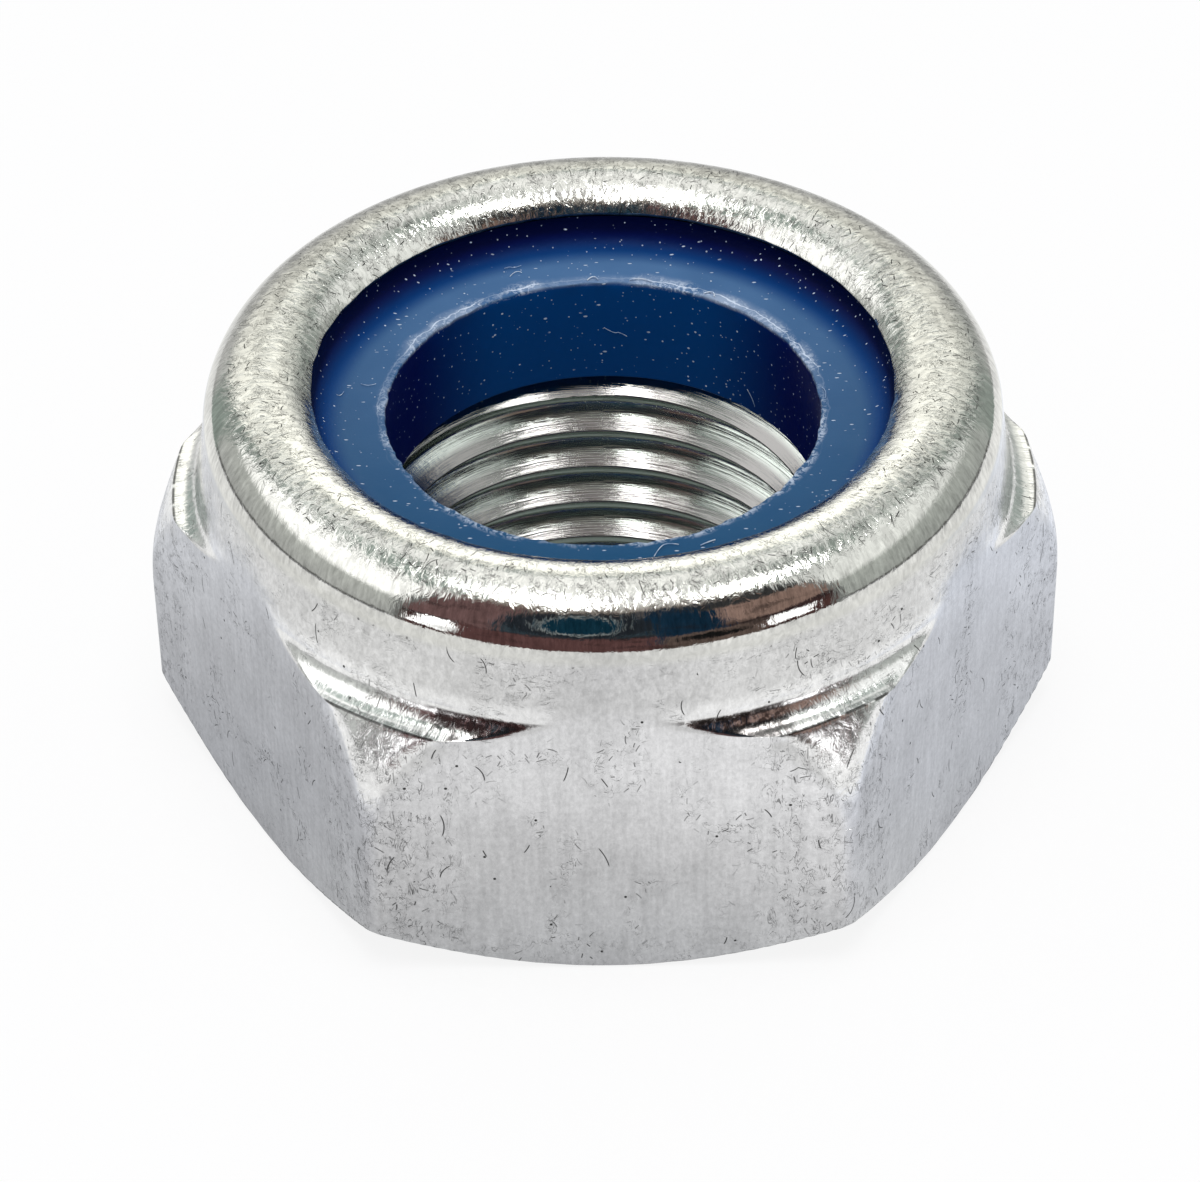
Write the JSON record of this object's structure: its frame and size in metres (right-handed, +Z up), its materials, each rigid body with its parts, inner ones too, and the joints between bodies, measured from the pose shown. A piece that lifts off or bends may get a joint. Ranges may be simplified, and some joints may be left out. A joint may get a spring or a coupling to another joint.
{
  "type": "nylon insert lock nut",
  "caption": "Hexagon lock nut with a fine thread and a nylon ring trapped under its rolled-over collar.",
  "frame": {"origin": "centre of the bearing face, on the thread axis", "axes": "+Z up the thread axis towards the nylon insert, -Y and +Y out of two opposite flats, +X out of a corner"},
  "size_m": [0.0194, 0.017, 0.0093],
  "materials": {
    "steel": "bright zinc plated, lightly scratched from tumbling in bulk",
    "nylon": "moulded, semi-gloss deep blue"
  },
  "bodies": {
    "root": {"nut_body": "steel", "nylon_insert": "nylon"}
  },
  "joints": []
}
